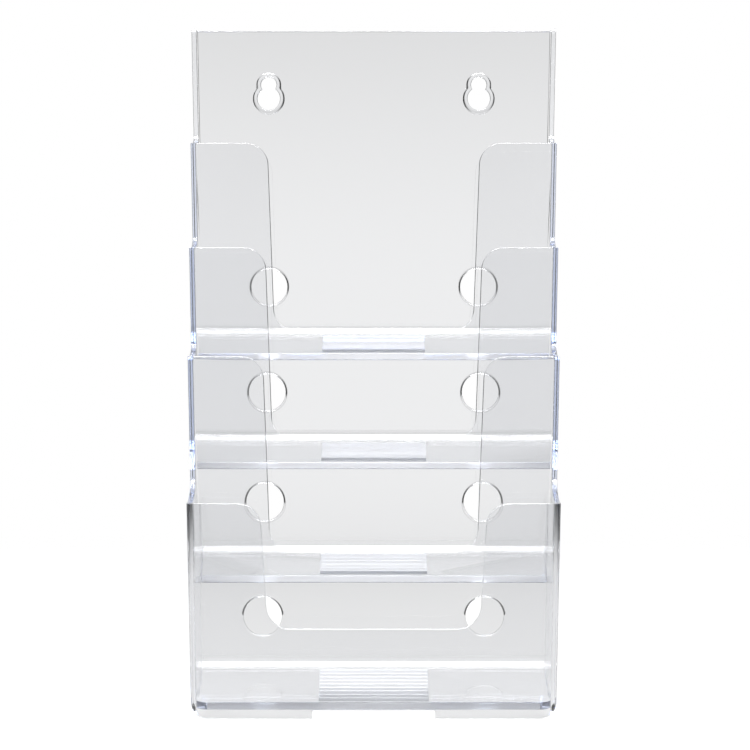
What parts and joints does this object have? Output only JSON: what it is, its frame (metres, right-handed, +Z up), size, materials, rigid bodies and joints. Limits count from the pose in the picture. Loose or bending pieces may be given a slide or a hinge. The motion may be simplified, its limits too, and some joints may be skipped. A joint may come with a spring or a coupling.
{
  "type": "brochure rack",
  "caption": "Clear plastic wall-hung rack whose open pockets step forward and down, each with a thumb notch in its front and a stepped patch on its sloping floor.",
  "frame": {"origin": "middle of the footprint, level with the bottom of the feet", "axes": "+X to the rack's right as seen from its front, +Y towards the wall, +Z up; the pockets face -Y"},
  "size_m": [0.1764, 0.1564, 0.32],
  "materials": {
    "clear_panel": "clear, polished as moulded",
    "clear_floor": "clear, polished as moulded",
    "clear_side": "clear, edges faintly blue"
  },
  "bodies": {
    "root": {"back_panel": "clear_panel", "front_wall_1": "clear_panel", "front_wall_2": "clear_panel", "front_wall_3": "clear_panel", "front_wall_4": "clear_panel", "back_wall_2": "clear_panel", "back_wall_3": "clear_panel", "back_wall_4": "clear_panel", "floor_1": "clear_floor", "floor_2": "clear_floor", "floor_3": "clear_floor", "floor_4": "clear_floor", "left_side_1": "clear_side", "right_side_1": "clear_side", "left_side_2": "clear_side", "right_side_2": "clear_side", "left_side_3": "clear_side", "right_side_3": "clear_side", "left_side_4": "clear_side", "right_side_4": "clear_side"}
  },
  "joints": []
}
